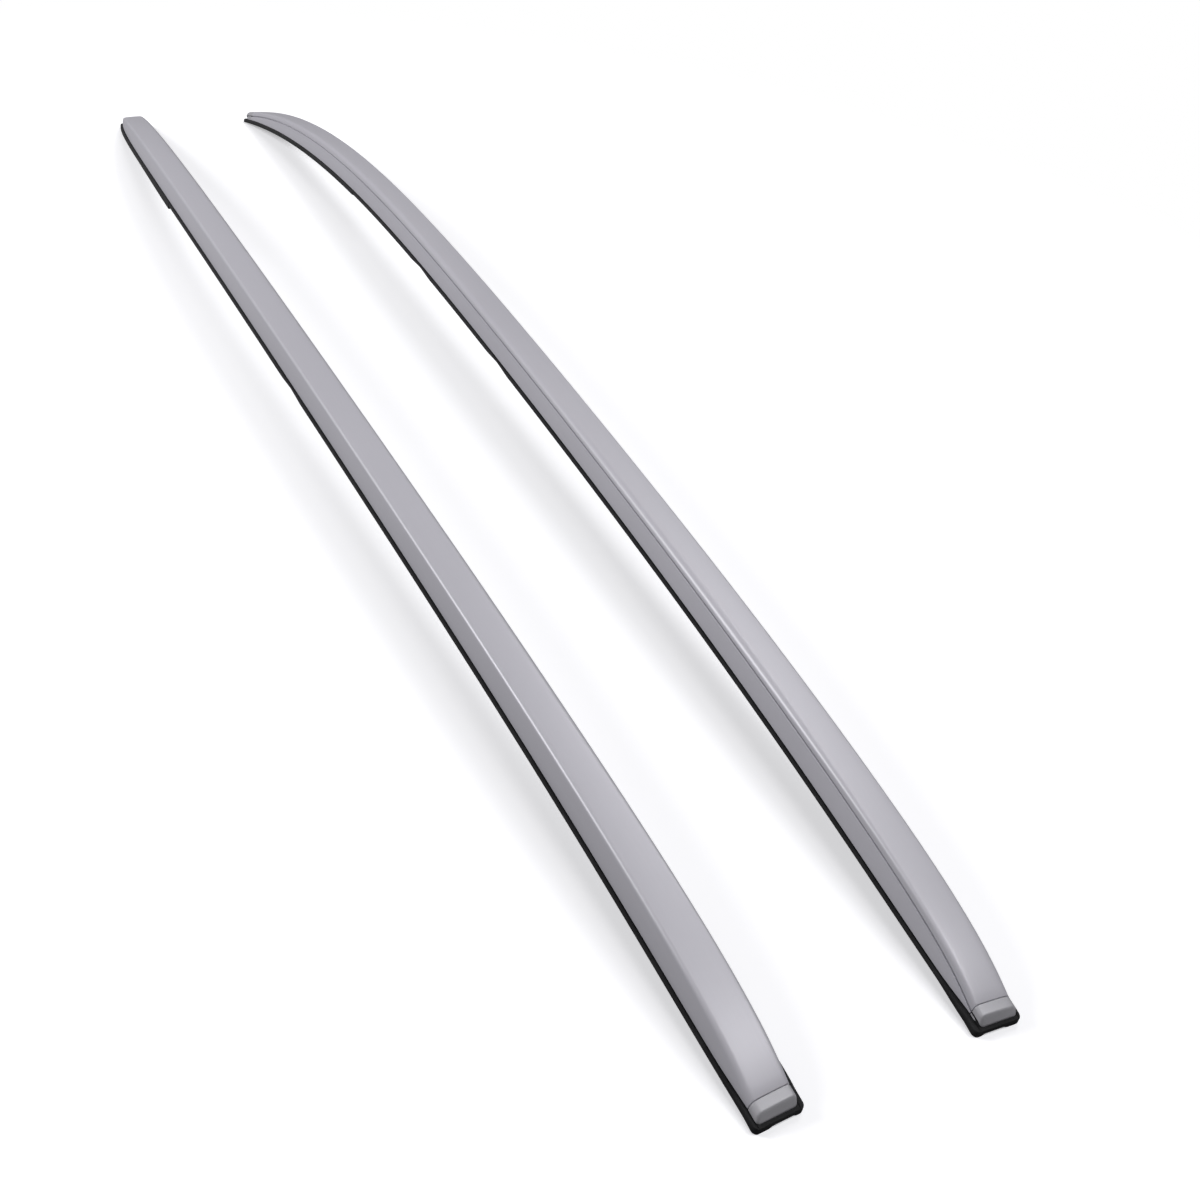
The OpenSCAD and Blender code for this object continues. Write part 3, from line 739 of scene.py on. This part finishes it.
# Floor, light and camera
studio = dict(
    floorSize=60.0, floorShade=grey(0.80, 0.80, 0.82), floorLift=0.43, liftTint=grey(0.98, 0.98, 1.0),
    floorBounce=grey(0.26, 0.26, 0.26), whiteFrom=1.1, whiteTo=1.7, worldLight=0.088,
    frontSoftbox=((0.0, -1.6, 4.2), 2.0, 39.0), frontRightSoftbox=((2.0, -1.6, 4.2), 2.0, 65.5),
    rearRightSoftbox=((2.5, 1.5, 3.5), 2.0, 39.7), rearLeftSoftbox=((-3.0, 1.6, 2.0), 1.6, 103.0))


def makeFloor():
    finish = Finish("pale_floor")
    rays = [finish.add("ShaderNodeLightPath", out=f"Is {kind} Ray") for kind in ("Camera", "Transmission")]
    seen = finish.calculate("MAXIMUM", *rays)
    paper = finish.add("ShaderNodeBsdfDiffuse", None, {"Color": studio["floorShade"]})
    lift = {"Color": studio["liftTint"], "Strength": seen * studio["floorLift"]}
    glow = finish.add("ShaderNodeEmission", None, lift)
    paper = finish.add("ShaderNodeAddShader", None, {0: paper, 1: glow})
    white = finish.add("ShaderNodeEmission", None, {"Color": grey(1, 1, 1), "Strength": 1.0})
    distance = finish.add("ShaderNodeVectorMath", {"operation": "LENGTH"}, {0: finish.place()}, "Value")
    away = distance.smoothly(studio["whiteFrom"], studio["whiteTo"])
    paper = finish.add("ShaderNodeMixShader", None, {0: away, 1: paper, 2: white})
    bounce = finish.add("ShaderNodeBsdfDiffuse", None, {"Color": studio["floorBounce"]})
    shown = finish.add("ShaderNodeMixShader", None, {0: seen, 1: bounce, 2: paper})
    below = finish.add("ShaderNodeNewGeometry", out="Backfacing")  # the floor can be looked through from below
    clear = finish.add("ShaderNodeBsdfTransparent")
    shown = finish.add("ShaderNodeMixShader", None, {0: below, 1: shown, 2: clear})
    finish.add("ShaderNodeOutputMaterial", None, {"Surface": shown})
    bpy.ops.mesh.primitive_plane_add(size=studio["floorSize"])
    floor = bpy.context.object
    floor.name = "floor"
    floor.data.materials.append(finish.material)


def makeWorld():
    world = bpy.data.worlds.new("studio_air")
    bpy.context.scene.world = world
    world.use_nodes = True
    tree = world.node_tree
    tree.nodes.clear()
    path = tree.nodes.new("ShaderNodeLightPath")
    back = tree.nodes.new("ShaderNodeBackground")
    back.inputs["Color"].default_value = grey(1, 1, 1)
    back.inputs["Strength"].default_value = studio["worldLight"]
    white = tree.nodes.new("ShaderNodeBackground")
    white.inputs["Color"].default_value = grey(1, 1, 1)
    mix = tree.nodes.new("ShaderNodeMixShader")
    out = tree.nodes.new("ShaderNodeOutputWorld")
    tree.links.new(path.outputs["Is Camera Ray"], mix.inputs[0])
    tree.links.new(back.outputs[0], mix.inputs[1])
    tree.links.new(white.outputs[0], mix.inputs[2])
    tree.links.new(mix.outputs[0], out.inputs[0])


def addLamp(name, place, size, power):
    lamp = bpy.data.lights.new(name, "AREA")
    lamp.shape, lamp.size, lamp.energy = "DISK", size, power
    holder = bpy.data.objects.new(name, lamp)
    bpy.context.scene.collection.objects.link(holder)
    holder.location = place
    holder.rotation_mode = "QUATERNION"
    holder.rotation_quaternion = (Vector((0, 0, 0.05)) - Vector(place)).to_track_quat("-Z", "Y")
    return holder


cameraPlace = dict(
    place=(-0.5959, -1.3943, 0.9032), yaw=0.5817, pitch=-0.65, roll=0.1665, lens=42.04)


def makeCamera():
    c = cameraPlace
    camera = bpy.data.cameras.new("photo_camera")
    camera.lens, camera.sensor_width, camera.sensor_fit = c["lens"], 36.0, "HORIZONTAL"
    camera.clip_start, camera.clip_end = 0.01, 100.0
    holder = bpy.data.objects.new("photo_camera", camera)
    bpy.context.scene.collection.objects.link(holder)
    ahead = Vector((math.sin(c["yaw"]) * math.cos(c["pitch"]), math.cos(c["yaw"]) * math.cos(c["pitch"]),
                    math.sin(c["pitch"])))
    level = Vector((math.cos(c["yaw"]), -math.sin(c["yaw"]), 0))
    over = level.cross(ahead)
    right = level * math.cos(c["roll"]) + over * math.sin(c["roll"])
    up = over * math.cos(c["roll"]) - level * math.sin(c["roll"])
    turn = Matrix((right, up, -ahead)).transposed().to_4x4()
    holder.matrix_world = Matrix.Translation(c["place"]) @ turn
    bpy.context.scene.camera = holder


makeFloor()
makeWorld()
for name in ("frontSoftbox", "frontRightSoftbox", "rearRightSoftbox", "rearLeftSoftbox"):
    addLamp(name, *studio[name])
makeCamera()
bpy.context.scene.view_settings.view_transform = "Standard"
print("studio set")
